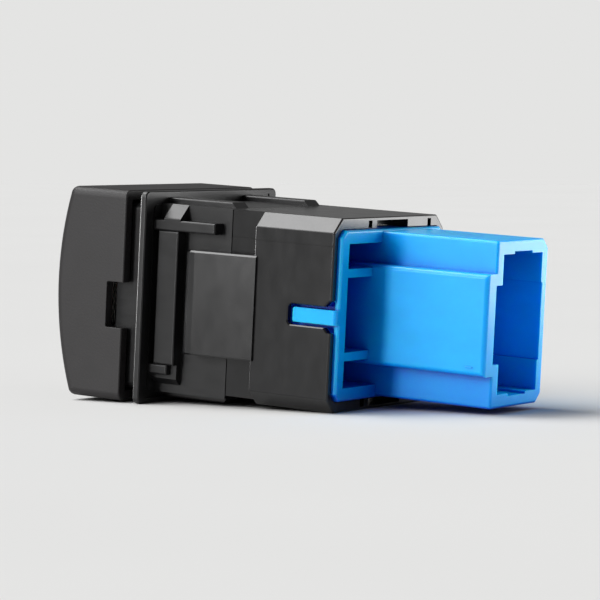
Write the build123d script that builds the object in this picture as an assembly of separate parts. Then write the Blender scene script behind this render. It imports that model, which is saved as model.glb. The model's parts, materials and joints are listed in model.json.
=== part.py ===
from build123d import *
import os

# Snap-in dashboard pushbutton switch.
# +X points from the push cap to the connector, along the push; +Z is up as the switch lies on its side rails;
# the origin is the centre of the flange's rear face, which seats on the panel. All sizes are in millimetres.

EDGE_ROUND = 0.2  # left by the moulds on outside edges

# ---- flange and front housing ----
FLANGE_LIP = (1.5, 1.3)  # the flange stands out this far past the housing along Y and Z
FLANGE_THICKNESS = 0.8
FLANGE_CORNER = 0.7
SEAT_RELIEF = 0.12  # the flange's rear face is relieved inside the panel opening, so only its rim seats
OPENING_GAP = 0.1  # from the body to the edge of the panel opening
SLEEVE_LENGTH = 4.0  # guide sleeve in front of the flange
SLEEVE_WALL = 1.2
WAIST_STEP = 1.5  # on each side, from the full width to the slim middle of the body
WAIST_WALL = 1.3
JOINT_LINE = 9.3  # X where the front housing meets the rear housing
SPIGOT_LENGTH = 2.4  # collar of the front housing inside the rear housing
SPIGOT_WALL = 0.9
FIT_GAP = 0.1  # clearance between mouldings that plug together
BULKHEAD_START = 0.5
BULKHEAD_THICKNESS = 1.2
RIB_HEIGHT = 0.6  # low ribs on the top and bottom of the waist
RIB_WIDTH = 2.4
RIB_INSET = 1.3  # from the waist's side to each rib
RIB_END_GAP = 0.5  # from the joint line to each rib's sloped end
BAR_START = 0.65  # upright bar beside the flange
BAR_WIDTH = 2.7
BAR_INSET = 3.15  # from the housing's top and bottom to the bar's ends
ARM_LENGTH = 8.1  # side rail at the top of the bar
ARM_THICKNESS = 1.2
ARM_GAP = 0.3  # from the bar's end to the rail
CORNER_START = 1.4  # bevelled block above the rail
CORNER_LENGTH = 2.15
HEEL_RISE = 0.95  # from the housing's underside to the bar's bevelled heel
HEEL_RECESS = 0.7
LUG_HEIGHT = 1.1
LUG_END = 2.5

# ---- rear housing ----
HOUSING_WIDTH = 22.0
HOUSING_HEIGHT = 20.5
HOUSING_BEVEL = 1.5
NECK_LENGTH = 4.0  # slim front part, from the joint line to the full width
NECK_STEP = 0.45  # the neck's underside stands this much higher than the waist's
JOINT_BEVEL = 0.12
HOUSING_LENGTH = 10.0  # full-width part
WEDGE_START = 5.0  # free end of each snap arm
WEDGE_HEIGHT = 11.2
WEDGE_PROUD = 0.9  # at the free end
WEDGE_ROOT_PROUD = 0.25
WEDGE_GAP = 0.3  # between a snap arm and the waist
WEDGE_LEAD = (1.25, 0.1)  # shallow slope at the free end, along X and Y
WEDGE_NOSE = (0.5, 0.3)  # steeper one at its tip
WEDGE_EDGE = 0.4
WEDGE_BEVEL = 0.18  # along the plate's top, bottom and root
SLOT_LENGTH = 5.45  # tongue slot in each side, open at the rear edge
SLOT_HEIGHT = 2.2
SLOT_ROUND = 0.45
SLOT_BEVEL = 0.12
SLOT_FLARE_LENGTH = 0.9
SLOT_FLARE = 0.55
END_RECESS_DEPTH = 2.0  # notches in the rear edge
END_RECESS_WIDTH = 6.3
END_RECESS_Y = 0.3
END_RECESS_SKIN = 0.35
END_SLOT_WIDTH = 0.72
END_SLOT_Y = (-4.1, 7.9)
SEAM_DEPTH = 0.12
SEAM_WIDTH = 0.16
SEAM_DROP = 2.9  # from the top

# ---- connector cover ----
COVER_DEPTH = 7.8  # inside the housing mouth
COVER_PROUD = 0.55  # behind the housing's rear face
MOUTH_GAP = 0.1  # between cover and housing mouth
TOP_WALL = 1.25  # of the housing round the cover
SIDE_WALL = 0.8
COVER_CORNER = 0.8
COVER_ROUND = 0.3  # on the cover's and the tower's outside edges
RIM_WIDTH = 1.3
RIM_HEIGHT = 1.4
POCKET_DEPTH = 5.35
TONGUE_GAP = 0.55  # from the slot's end to the tongue
TONGUE_HEIGHT = 1.55
TONGUE_PROUD = 0.6
TONGUE_Z = -0.13
TONGUE_CORNER = 0.25  # at the tongue's free end
TONGUE_BEND = 0.5  # where the tongue runs into the cover's rear face
TONGUE_RELIEF = 0.9  # how deep the cover's side is cut away round the tongue
TIE_THICKNESS = 0.9
TIE_Z = (4.5, -4.28)
TOWER_LENGTH = 14.15  # behind the cover's rear face
TOWER_NEAR = -2.43  # Y of the tower's near side
TOWER_WIDTH = 10.78
TOWER_SETBACK = 0.2  # inside the cover's top and bottom
TOWER_WALL = 1.25
TOWER_CORNER = 1.0
PANEL_PROUD = 1.72
PANEL_HEIGHT = 10.7
PANEL_ROUND = 0.5
GATE_MARK_LENGTH = 0.9
GATE_MARK_RISE = 0.12
GATE_MARK_END = 1.4  # from the tower's end
GATE_MARK_Z = -4.4
SOCKET_WALL = 1.45  # above and below the socket
SOCKET_DEPTH = 12.0
LOCK_HEIGHT = 8.3  # widened middle of the socket
GROOVE_WIDTH = 3.8
GROOVE_DEPTH = 0.27

# ---- push cap ----
PRESS_TRAVEL = 1.9
CAP_GAP = 2.0  # from the cap's rear edge to the flange at rest
CAP_MARGIN = (0.2, 0.05)  # the flange reaches this far past the cap along Y and Z
CAP_WALL = 1.1
CAP_FACE_WALL = 1.2
CAP_APEX = 9.3  # length from the rear edge to the crown's apex
CAP_APEX_Z = 1.0
CAP_TOP_DROP = 1.55  # how far the crown falls back at the top edge
CAP_BOTTOM_DROP = 2.2
CAP_ROUND = 0.9
SLEEVE_GAP = 0.3  # between sleeve and cap
NOTCH_DEPTH = 2.2
NOTCH_HEIGHT = 5.0
NOTCH_Z = -1.05
POST_DIAMETER = 2.0
POST_Y = 5.5
POST_Z = 3.2

# ---- plunger and contact parts ----
HEAD_INSET = (3.7, 2.4)  # from the cap's inside walls, along Y and Z
HEAD_THICKNESS = 1.5
HEAD_RUN = 0.7  # left between the head and the sleeve at full press
STEM_SIZE = 4.0
STEM_GAP = 0.3
STAKE_DIAMETER = 1.6
STAKE_LENGTH = 0.8
BARB_LENGTH = 1.8
BARB_HEIGHT = 0.7
SPRING_DIAMETER = 7.6  # mean coil diameter
SPRING_WIRE = 0.5
SPRING_TURNS = 4  # between one closed turn at each end
SPRING_END_GAP = 0.04
SPRING_POINTS = 12  # that set out each turn
LEAF_THICKNESS = 0.4
CONTACT_THICKNESS = 0.5
CONTACT_DIAMETER = 1.8
CONTACT_Y = -5.0
CONTACT_END_GAP = 0.1  # left between the contacts at full press

# ---- terminals ----
TERMINAL_Y = 3.2
TERMINAL_PITCH = 2.8
TERMINAL_COUNT = 5
BLADE_WIDTH = 1.0
BLADE_THICKNESS = 0.64
TIP_DEPTH = 4.5  # from the socket's mouth to the pins' tips
BLADE_POINT = 0.2  # bevel round the tip
FOOT_THICKNESS = 0.5
FOOT_WIDTH = 1.9

# ---- circuit board and light ----
BOARD_MARGIN = 0.2  # between the board and the walls around it
BOARD_THICKNESS = 1.0
BOARD_STANDOFF = 1.2
STAKE_BOSS = 2.4
STAKE_PIN = 1.1
STAKE_INSET = 0.8  # from the board's edges
LEG_GAP = 0.06
LEG_STICK_OUT = 0.7
LED_SIZE = (1.0, 1.6, 2.0)
LED_INSET = 0.55  # from the board's top edge
GUIDE_SIZE = (3.0, 2.0)
GUIDE_FLANGE = (4.4, 2.8)
GUIDE_FLANGE_THICKNESS = 0.8
GUIDE_RUN = 0.3  # left between the light guide and the head at full press
LENS_SIZE = (4.6, 1.6)
LENS_SEAT = 0.2  # from the inside of the crown, beside the lens, back to its flange's seat
LENS_FLANGE = 0.5
CHIP_SIZE = (0.6, 3.2, 1.6)
CHIP_INSET = 0.4  # from the board's side edge
CHIP_Z = 2.6

# ---- worked-out places ----
FLANGE_WIDTH = HOUSING_WIDTH + 2 * FLANGE_LIP[0]
FLANGE_HEIGHT = HOUSING_HEIGHT + 2 * FLANGE_LIP[1]
HOUSING_START = JOINT_LINE + NECK_LENGTH
HOUSING_END = HOUSING_START + HOUSING_LENGTH
COVER_START = HOUSING_END - COVER_DEPTH
COVER_END = HOUSING_END + COVER_PROUD
POCKET_FLOOR = COVER_END - POCKET_DEPTH
SLOT_START = HOUSING_END - SLOT_LENGTH
TONGUE_START = SLOT_START + TONGUE_GAP
COVER_WIDTH = HOUSING_WIDTH - 2 * SIDE_WALL
COVER_HEIGHT = HOUSING_HEIGHT - 2 * TOP_WALL
TOWER_HEIGHT = COVER_HEIGHT - 2 * TOWER_SETBACK
SOCKET_HEIGHT = TOWER_HEIGHT - 2 * SOCKET_WALL
TOWER_END = COVER_END + TOWER_LENGTH
SOCKET_FLOOR = TOWER_END - SOCKET_DEPTH
BLADE_TIP = TOWER_END - TIP_DEPTH
CAP_REAR = -FLANGE_THICKNESS - CAP_GAP
CAP_FRONT = CAP_REAR - CAP_APEX
CAP_WIDTH = FLANGE_WIDTH - 2 * CAP_MARGIN[0]
CAP_HEIGHT = FLANGE_HEIGHT - 2 * CAP_MARGIN[1]
HEAD_WIDTH = CAP_WIDTH - 2 * (CAP_WALL + HEAD_INSET[0])
HEAD_HEIGHT = CAP_HEIGHT - 2 * (CAP_WALL + HEAD_INSET[1])
SLEEVE_WIDTH = CAP_WIDTH - 2 * (CAP_WALL + SLEEVE_GAP)
SLEEVE_HEIGHT = CAP_HEIGHT - 2 * (CAP_WALL + SLEEVE_GAP)
SLEEVE_FRONT = -FLANGE_THICKNESS - SLEEVE_LENGTH
WAIST_WIDTH = HOUSING_WIDTH - 2 * WAIST_STEP
WAIST_HALF = WAIST_WIDTH / 2
SIDE_HALF = HOUSING_WIDTH / 2
TOP = HOUSING_HEIGHT / 2
INNER_WIDTH = WAIST_WIDTH - 2 * WAIST_WALL
INNER_HEIGHT = HOUSING_HEIGHT - 2 * WAIST_WALL
SPIGOT_WIDTH = INNER_WIDTH - 2 * FIT_GAP
SPIGOT_HEIGHT = INNER_HEIGHT - 2 * FIT_GAP
RIB_OUTER = WAIST_HALF - RIB_INSET
RIB_END = JOINT_LINE - RIB_END_GAP
BOARD_WIDTH = SPIGOT_WIDTH - 2 * (SPIGOT_WALL + BOARD_MARGIN)
BOARD_HEIGHT = SPIGOT_HEIGHT - 2 * (SPIGOT_WALL + BOARD_MARGIN)
STAKE_Y = BOARD_WIDTH / 2 - STAKE_INSET
STAKE_Z = BOARD_HEIGHT / 2 - STAKE_INSET
CHIP_Y = CHIP_INSET + CHIP_SIZE[1] / 2 - BOARD_WIDTH / 2
LIGHT_Z = BOARD_HEIGHT / 2 - LED_INSET - LED_SIZE[2] / 2
LENS_TOP = LIGHT_Z + (LENS_SIZE[1] + CAP_WALL) / 2
CROWN_DROP = CAP_TOP_DROP * ((LENS_TOP - CAP_APEX_Z) / (CAP_HEIGHT / 2 - CAP_APEX_Z)) ** 2
LENS_REAR = CAP_FRONT + CAP_FACE_WALL + CROWN_DROP + LENS_SEAT
BULKHEAD_REAR = BULKHEAD_START + BULKHEAD_THICKNESS
BOARD_FRONT = BULKHEAD_REAR + BOARD_STANDOFF
BOARD_REAR = BOARD_FRONT + BOARD_THICKNESS
HEAD_REAR = SLEEVE_FRONT - PRESS_TRAVEL - HEAD_RUN
HEAD_FRONT = HEAD_REAR - HEAD_THICKNESS
GUIDE_FRONT = HEAD_REAR + PRESS_TRAVEL + GUIDE_RUN
FOOT_FRONT = COVER_START - FOOT_THICKNESS
FIXED_TIP = FOOT_FRONT - CONTACT_THICKNESS
MOVING_TIP = FIXED_TIP - PRESS_TRAVEL - CONTACT_END_GAP
LEAF_REAR = MOVING_TIP - CONTACT_THICKNESS
STEM_END = LEAF_REAR - LEAF_THICKNESS
CONTACT_Z = TERMINAL_PITCH * (TERMINAL_COUNT - 1) / 2
SOCKET_WIDTH = TOWER_WIDTH - 2 * TOWER_WALL
TOWER_MIDDLE = TOWER_NEAR + TOWER_WIDTH / 2
BAR_END = BAR_START + BAR_WIDTH
BAR_TOP = TOP - BAR_INSET
ARM_BOTTOM = BAR_TOP + ARM_GAP


def block(x, y, z):
    """A box between two corners, given as (low, high) pairs."""
    size = (x[1] - x[0], y[1] - y[0], z[1] - z[0])
    middle = ((x[0] + x[1]) / 2, (y[0] + y[1]) / 2, (z[0] + z[1]) / 2)
    return Pos(*middle) * Box(*size)


def bar(x, width, height, y=0.0, z=0.0):
    """A box of a width along Y and a height along Z, centred on (y, z)."""
    return block(x, (y - width / 2, y + width / 2), (z - height / 2, z + height / 2))


def rod(x, diameter, y=0.0, z=0.0):
    """A round rod along X."""
    return Pos((x[0] + x[1]) / 2, y, z) * Rot(0, 90, 0) * Cylinder(diameter / 2, x[1] - x[0])


def bevelled(x, width, height, bevel):
    """A bar along X with its four long edges bevelled."""
    solid = bar(x, width, height)
    return chamfer(solid.edges().filter_by(Axis.X), bevel)


def both_sides(solid):
    """A solid on the -Y side together with its mirror image on the +Y side."""
    return [solid, mirror(solid, about=Plane.XZ)]


def round_near(solid):
    """Rounds the edges of the face furthest towards -Y."""
    return fillet(solid.faces().sort_by(Axis.Y)[0].edges(), EDGE_ROUND)


def prism_xz(points, y):
    """A prism along Y whose outline in the XZ plane is given by its corners."""
    face = make_face(Polyline(*[(px, 0, pz) for px, pz in points], close=True))
    return Pos(0, y[0], 0) * extrude(face, y[1] - y[0], dir=(0, 1, 0))


def prism_xy(points, z):
    """A prism along Z whose outline in the XY plane is given by its corners."""
    face = make_face(Polyline(*[(px, py, 0) for px, py in points], close=True))
    return Pos(0, 0, z[0]) * extrude(face, z[1] - z[0], dir=(0, 0, 1))


def front_housing():
    sleeve = bar((SLEEVE_FRONT, 0), SLEEVE_WIDTH, SLEEVE_HEIGHT)
    sleeve = fillet(sleeve.edges().filter_by(Axis.X), FLANGE_CORNER)
    sleeve = fillet(sleeve.faces().sort_by(Axis.X)[0].edges(), EDGE_ROUND)
    flange = bar((-FLANGE_THICKNESS, 0), FLANGE_WIDTH, FLANGE_HEIGHT)
    flange = fillet(flange.edges().filter_by(Axis.X), FLANGE_CORNER)
    flange = fillet(flange.edges(), EDGE_ROUND)
    opening = (HOUSING_WIDTH + 2 * OPENING_GAP, HOUSING_HEIGHT + 2 * (RIB_HEIGHT + OPENING_GAP))
    flange -= bar((-SEAT_RELIEF, 0), *opening)
    waist = bar((-FLANGE_THICKNESS, JOINT_LINE), WAIST_WIDTH, HOUSING_HEIGHT)
    spigot_end = JOINT_LINE + SPIGOT_LENGTH
    spigot = bar((BULKHEAD_REAR, spigot_end), SPIGOT_WIDTH, SPIGOT_HEIGHT)
    solid = sleeve + flange + waist + spigot
    front_room = (min(SLEEVE_WIDTH, WAIST_WIDTH) - 2 * SLEEVE_WALL, SLEEVE_HEIGHT - 2 * SLEEVE_WALL)
    solid -= bar((SLEEVE_FRONT, BULKHEAD_START), *front_room)
    solid -= bar((SLEEVE_FRONT, -FLANGE_THICKNESS), SLEEVE_WIDTH - 2 * SLEEVE_WALL, front_room[1])
    solid -= bar((BULKHEAD_REAR, spigot_end), SPIGOT_WIDTH - 2 * SPIGOT_WALL, SPIGOT_HEIGHT - 2 * SPIGOT_WALL)
    solid += board_stakes()
    bulkhead = (BULKHEAD_START, BULKHEAD_REAR)
    solid -= bar(bulkhead, STEM_SIZE + 2 * STEM_GAP, STEM_SIZE + 2 * STEM_GAP)
    solid -= bar(bulkhead, LED_SIZE[1] + 2 * STEM_GAP, LED_SIZE[2] + 2 * STEM_GAP, z=LIGHT_Z)
    solid += waist_ribs()
    for piece in side_details():
        solid += piece
    return solid


def waist_ribs():
    """Two low ribs on the top and two on the bottom, each with a sloped rear end."""
    ribs = []
    rib_top = TOP + RIB_HEIGHT
    outline = [(-SEAT_RELIEF, TOP), (-SEAT_RELIEF, rib_top), (RIB_END - RIB_HEIGHT, rib_top), (RIB_END, TOP)]
    top = prism_xz(outline, (-RIB_OUTER, -RIB_OUTER + RIB_WIDTH))
    top = fillet(top.faces().sort_by(Axis.Z)[-1].edges(), EDGE_ROUND)
    for rib in both_sides(top):
        ribs += [rib, mirror(rib, about=Plane.XY)]
    return ribs


def side_details():
    """On each side: an upright bar with a lug and heel, the rail above it, and a bevelled corner block."""
    outer = (-SIDE_HALF, -WAIST_HALF)
    lower = -BAR_TOP
    upright = round_near(block((BAR_START, BAR_END), outer, (lower, ARM_BOTTOM)))
    rail = round_near(block((-SEAT_RELIEF, ARM_LENGTH), outer, (ARM_BOTTOM, ARM_BOTTOM + ARM_THICKNESS)))
    span = (CORNER_START, CORNER_START + CORNER_LENGTH)
    corner = block(span, (-SIDE_HALF, 0), (ARM_BOTTOM, TOP))
    corner = chamfer(corner.edges().filter_by(Axis.X).group_by(Axis.Z)[-1].sort_by(Axis.Y)[0], HOUSING_BEVEL)
    corner = fillet(corner.edges().filter_by(Axis.X).group_by(Axis.Y)[0], EDGE_ROUND)
    corner -= block(span, (-WAIST_HALF, 0), (ARM_BOTTOM, TOP))
    heel = block((-SEAT_RELIEF, BAR_END), (-SIDE_HALF + HEEL_RECESS, -WAIST_HALF), (HEEL_RISE - TOP, lower))
    heel = chamfer(
        heel.edges().filter_by(Axis.X).group_by(Axis.Z)[0].sort_by(Axis.Y)[0],
        (SIDE_HALF - WAIST_HALF - HEEL_RECESS) * 0.8,
    )
    lug = round_near(block((-SEAT_RELIEF, LUG_END), outer, (lower - LUG_HEIGHT, lower)))
    pieces = []
    for piece in (upright, rail, corner, heel, lug):
        pieces += both_sides(piece)
    return pieces


def board_stakes():
    """Four posts on the bulkhead that carry the circuit board, with staking pins through its holes."""
    posts = []
    for y in (-STAKE_Y, STAKE_Y):
        for z in (-STAKE_Z, STAKE_Z):
            posts.append(rod((BULKHEAD_REAR, BOARD_FRONT), STAKE_BOSS, y, z))
            posts.append(rod((BOARD_FRONT, BOARD_REAR + FOOT_THICKNESS), STAKE_PIN, y, z))
    return posts


def cover_outline(x, gap=0.0):
    """The connector cover's outline, or with a gap the housing mouth that takes it."""
    return bevelled(x, COVER_WIDTH + 2 * gap, COVER_HEIGHT + 2 * gap, COVER_CORNER)


def rear_housing():
    solid = bevelled((HOUSING_START, HOUSING_END), HOUSING_WIDTH, HOUSING_HEIGHT, HOUSING_BEVEL)
    solid = fillet(solid.edges(), EDGE_ROUND)
    solid += rear_neck()
    solid -= bar((JOINT_LINE, COVER_START), INNER_WIDTH, INNER_HEIGHT)
    solid -= cover_outline((COVER_START, HOUSING_END), MOUTH_GAP)
    for piece in both_sides(tongue_slot((-SIDE_HALF - FIT_GAP, -COVER_WIDTH / 2))):
        solid -= piece
    solid = chamfer(slot_edges(solid), SLOT_BEVEL)
    for piece in end_notches():
        solid -= piece
    for piece in both_sides(seam_line()):
        solid -= piece
    for piece in both_sides(snap_arm()):
        solid += piece
    return solid


def rear_neck():
    """The slim front of the rear housing, stepped up underneath, with a fine bevel along the joint line."""
    x = (JOINT_LINE, HOUSING_START + HOUSING_BEVEL)
    neck = block(x, (-WAIST_HALF, WAIST_HALF), (NECK_STEP - TOP, TOP))
    return chamfer(neck.faces().sort_by(Axis.X)[0].edges(), JOINT_BEVEL)


def snap_arm():
    """A wedge plate over the waist, thickest at its free end, rooted in the step of the rear housing."""
    root = HOUSING_START + WEDGE_EDGE
    face = -SIDE_HALF - WEDGE_PROUD
    outline = [
        (WEDGE_START, -WAIST_HALF - WEDGE_GAP),
        (WEDGE_START, face + WEDGE_LEAD[1] + WEDGE_NOSE[1]),
        (WEDGE_START + WEDGE_NOSE[0], face + WEDGE_LEAD[1]),
        (WEDGE_START + WEDGE_LEAD[0], face),
        (root, -SIDE_HALF - WEDGE_ROOT_PROUD),
        (root, -SIDE_HALF + WEDGE_EDGE),
        (HOUSING_START, -WAIST_HALF - WEDGE_GAP),
    ]
    plate = prism_xy(outline, (-WEDGE_HEIGHT / 2, WEDGE_HEIGHT / 2))
    outer = [edge for edge in plate.edges() if edge.center().Y < -SIDE_HALF - WEDGE_BEVEL]
    long_edges = [edge for edge in outer if abs(edge.center().Z) > WEDGE_HEIGHT / 2 - FIT_GAP]
    return chamfer(long_edges, WEDGE_BEVEL)


def tongue_slot(y):
    """The slot in a side wall that the cover's tongue snaps into, flared where it meets the rear edge."""
    half = SLOT_HEIGHT / 2
    slot = block((SLOT_START, HOUSING_END), y, (-half, half))
    slot = fillet(slot.edges().filter_by(Axis.Y).group_by(Axis.X)[0], SLOT_ROUND)
    flare_start = HOUSING_END - SLOT_FLARE_LENGTH
    outline = [
        (flare_start, -half),
        (flare_start + SLOT_FLARE, -half - SLOT_FLARE),
        (HOUSING_END, -half - SLOT_FLARE),
        (HOUSING_END, half + SLOT_FLARE),
        (flare_start + SLOT_FLARE, half + SLOT_FLARE),
        (flare_start, half),
    ]
    return Pos(0, 0, TONGUE_Z) * (slot + prism_xz(outline, y))


def slot_edges(solid):
    """The edges where the two tongue slots open through the sides."""
    half = SLOT_HEIGHT / 2 + SLOT_FLARE
    found = []
    for edge in solid.edges():
        middle = edge.center()
        inside = SLOT_START - FIT_GAP < middle.X < HOUSING_END - EDGE_ROUND
        if inside and abs(middle.Z - TONGUE_Z) < half and abs(abs(middle.Y) - SIDE_HALF) < FIT_GAP / 10:
            found.append(edge)
    return found


def end_notches():
    """A wide recess and two narrow slots in the rear edge of the top wall, and the same in the bottom."""
    low = COVER_HEIGHT / 2
    high = TOP - END_RECESS_SKIN
    x = (HOUSING_END - END_RECESS_DEPTH, HOUSING_END)
    height = high - low
    notches = [bar(x, END_RECESS_WIDTH, height, END_RECESS_Y, (low + high) / 2)]
    for y in END_SLOT_Y:
        notches.append(bar(x, END_SLOT_WIDTH, height, y, (low + high) / 2))
    return notches + [mirror(notch, about=Plane.XY) for notch in notches]


def seam_line():
    """A fine line across a side and its neck, where two slides of the mould meet."""
    height = TOP - SEAM_DROP
    line = bar((HOUSING_START, HOUSING_END), SEAM_DEPTH, SEAM_WIDTH, -SIDE_HALF + SEAM_DEPTH / 2, height)
    neck = bar((JOINT_LINE, HOUSING_START), SEAM_DEPTH, SEAM_WIDTH, -WAIST_HALF + SEAM_DEPTH / 2, height)
    return Compound([line, neck])


def connector_cover():
    solid = cover_outline((COVER_START, COVER_END))
    solid = fillet(solid.faces().sort_by(Axis.X)[-1].edges(), COVER_ROUND)
    near_pocket = -COVER_WIDTH / 2 + RIM_WIDTH
    pocket_half = COVER_HEIGHT / 2 - RIM_HEIGHT
    solid -= block((POCKET_FLOOR, COVER_END), (near_pocket, TOWER_NEAR), (-pocket_half, pocket_half))
    solid += tower_shell()
    tie_length = TOWER_NEAR - near_pocket
    for z in TIE_Z:
        solid += bar((POCKET_FLOOR, COVER_END), tie_length, TIE_THICKNESS, near_pocket + tie_length / 2, z)
    solid -= socket_space()
    side = -COVER_WIDTH / 2
    for piece in both_sides(tongue_slot((side - FIT_GAP, side + TONGUE_RELIEF))):
        solid -= piece
    for piece in both_sides(tongue()):
        solid += piece
    for place in terminal_places():
        solid -= blade(place, COVER_START)
    return solid


def tongue():
    """The catch in the cover's side: free round its end, and bent into the cover's rear face."""
    side = -COVER_WIDTH / 2
    x = (TONGUE_START, COVER_END)
    half = TONGUE_HEIGHT / 2
    solid = block(x, (side - TONGUE_PROUD, side + TONGUE_RELIEF), (TONGUE_Z - half, TONGUE_Z + half))
    solid = fillet(solid.edges().filter_by(Axis.Y).group_by(Axis.X)[0], TONGUE_CORNER)
    return fillet(solid.edges().filter_by(Axis.Z).group_by(Axis.X)[-1].sort_by(Axis.Y)[0], TONGUE_BEND)


def tower_shell():
    """The connector tower with its raised panel, solid; its far corners are bevelled."""
    x = (POCKET_FLOOR, TOWER_END)
    tower = bar(x, TOWER_WIDTH, TOWER_HEIGHT, TOWER_MIDDLE)
    tower = chamfer(tower.edges().filter_by(Axis.X).group_by(Axis.Y)[-1], TOWER_CORNER)
    tower = fillet(tower.edges().filter_by(Axis.X) + tower.faces().sort_by(Axis.X)[-1].edges(), COVER_ROUND)
    panel = block(x, (TOWER_NEAR - PANEL_PROUD, TOWER_MIDDLE), (-PANEL_HEIGHT / 2, PANEL_HEIGHT / 2))
    near_end = panel.faces().sort_by(Axis.X)[-1].edges().sort_by(Axis.Y)[0]
    panel = fillet(panel.edges().filter_by(Axis.X).group_by(Axis.Y)[0] + [near_end], PANEL_ROUND)
    return tower + panel + gate_mark()


def gate_mark():
    """The short raised line that the mould's gate leaves on the panel."""
    x = (TOWER_END - GATE_MARK_END - GATE_MARK_LENGTH, TOWER_END - GATE_MARK_END)
    outer = TOWER_NEAR - PANEL_PROUD
    return bar(x, 2 * GATE_MARK_RISE, GATE_MARK_RISE, outer, GATE_MARK_Z)


def socket_space():
    """The open socket: a rectangle widened towards the panel, with a shallow keying groove top and bottom."""
    x = (SOCKET_FLOOR, TOWER_END)
    space = bar(x, SOCKET_WIDTH, SOCKET_HEIGHT, TOWER_MIDDLE)
    space += block(x, (TOWER_NEAR, TOWER_MIDDLE), (-LOCK_HEIGHT / 2, LOCK_HEIGHT / 2))
    space += bar(x, GROOVE_WIDTH, SOCKET_HEIGHT + 2 * GROOVE_DEPTH, TOWER_MIDDLE)
    far = TOWER_MIDDLE + SOCKET_WIDTH / 2 + GROOVE_DEPTH
    space += block(x, (TOWER_MIDDLE, far), (-LOCK_HEIGHT / 2, LOCK_HEIGHT / 2))
    return space


def terminal_places():
    """Z of each terminal, from the bottom up."""
    return [TERMINAL_PITCH * (i - (TERMINAL_COUNT - 1) / 2) for i in range(TERMINAL_COUNT)]


def blade(z, start):
    """A flat pin along X with a bevelled tip."""
    pin = bar((start, BLADE_TIP), BLADE_THICKNESS, BLADE_WIDTH, TERMINAL_Y, z)
    tip_edges = pin.faces().sort_by(Axis.X)[-1].edges()
    return chamfer(tip_edges, BLADE_POINT)


def terminal(index):
    """The outer two terminals end in contact feet; the inner ones run forward to the circuit board."""
    z = terminal_places()[index]
    if index in (0, TERMINAL_COUNT - 1):
        foot = block(
            (FOOT_FRONT, COVER_START),
            (CONTACT_Y - FOOT_WIDTH / 2, TERMINAL_Y + BLADE_THICKNESS / 2),
            (z - FOOT_WIDTH / 2, z + FOOT_WIDTH / 2),
        )
        foot = fillet(foot.edges().filter_by(Axis.X).group_by(Axis.Y)[0], FOOT_WIDTH / 3)
        return blade(z, FOOT_FRONT) + foot
    return blade(z, BOARD_FRONT - LEG_STICK_OUT)


def cap_profile(inset, rear):
    """The cap's outline in the XZ plane: a crowned front between a flat top and bottom."""
    half = CAP_HEIGHT / 2 - inset * CAP_WALL
    face = inset * CAP_FACE_WALL
    top = (CAP_FRONT + CAP_TOP_DROP + face, 0, half)
    apex = (CAP_FRONT + face, 0, CAP_APEX_Z)
    bottom = (CAP_FRONT + CAP_BOTTOM_DROP + face, 0, -half)
    crown = ThreePointArc(bottom, apex, top)
    rest = Polyline(top, (rear, 0, half), (rear, 0, -half), bottom)
    width = CAP_WIDTH / 2 - inset * CAP_WALL
    return Pos(0, -width, 0) * extrude(make_face([crown, rest]), 2 * width, dir=(0, 1, 0))


def cap_skin():
    """The cap's outer form, solid, with its front and long edges rounded."""
    solid = cap_profile(0, CAP_REAR)
    rear_edges = solid.faces().sort_by(Axis.X)[-1].edges()
    rounded = [edge for edge in solid.edges() if edge not in rear_edges]
    solid = fillet(rounded, CAP_ROUND)
    return fillet(solid.faces().sort_by(Axis.X)[-1].edges(), EDGE_ROUND)


def button_cap():
    skin = cap_skin()
    solid = skin - cap_profile(1, CAP_REAR)
    notch = bar((CAP_REAR - NOTCH_DEPTH, CAP_REAR), CAP_WIDTH, NOTCH_HEIGHT, z=NOTCH_Z)
    notch = fillet(notch.edges().filter_by(Axis.Y).group_by(Axis.X)[0], EDGE_ROUND)
    solid -= notch
    for y in (-POST_Y, POST_Y):
        for z in (-POST_Z, POST_Z):
            solid += rod((CAP_FRONT + CAP_FACE_WALL / 2, HEAD_FRONT), POST_DIAMETER, y, z)
    boss = bar((CAP_FRONT, LENS_REAR), LENS_SIZE[0] + 2 * CAP_WALL, LENS_SIZE[1] + 2 * CAP_WALL, z=LIGHT_Z)
    solid += boss & skin
    return solid - bar((CAP_FRONT, LENS_REAR), *LENS_SIZE, z=LIGHT_Z)


def indicator_lens():
    """A clear lens flush with the cap's crown, with a flange behind its seat."""
    window = bar((CAP_FRONT, LENS_REAR), *LENS_SIZE, z=LIGHT_Z) & cap_skin()
    seat = (LENS_REAR, LENS_REAR + LENS_FLANGE)
    return window + bar(seat, LENS_SIZE[0] + CAP_WALL, LENS_SIZE[1] + CAP_WALL, z=LIGHT_Z)


def plunger():
    head = bar((HEAD_FRONT, HEAD_REAR), HEAD_WIDTH, HEAD_HEIGHT)
    head = fillet(head.edges().filter_by(Axis.X), FLANGE_CORNER)
    head -= bar((HEAD_FRONT, HEAD_REAR), GUIDE_SIZE[0] + STEM_GAP, GUIDE_SIZE[1] + STEM_GAP, z=LIGHT_Z)
    stem = bar((HEAD_REAR, STEM_END), STEM_SIZE, STEM_SIZE)
    solid = head + stem + rod((STEM_END, STEM_END + LEAF_THICKNESS + STAKE_LENGTH), STAKE_DIAMETER)
    catch = BULKHEAD_REAR + FIT_GAP
    outline = [
        (catch, STEM_SIZE / 2),
        (catch, STEM_SIZE / 2 + BARB_HEIGHT),
        (catch + BARB_LENGTH, STEM_SIZE / 2),
    ]
    barb = prism_xz(outline, (-STEM_SIZE / 2, STEM_SIZE / 2))
    return solid + barb + mirror(barb, about=Plane.XY)


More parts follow.
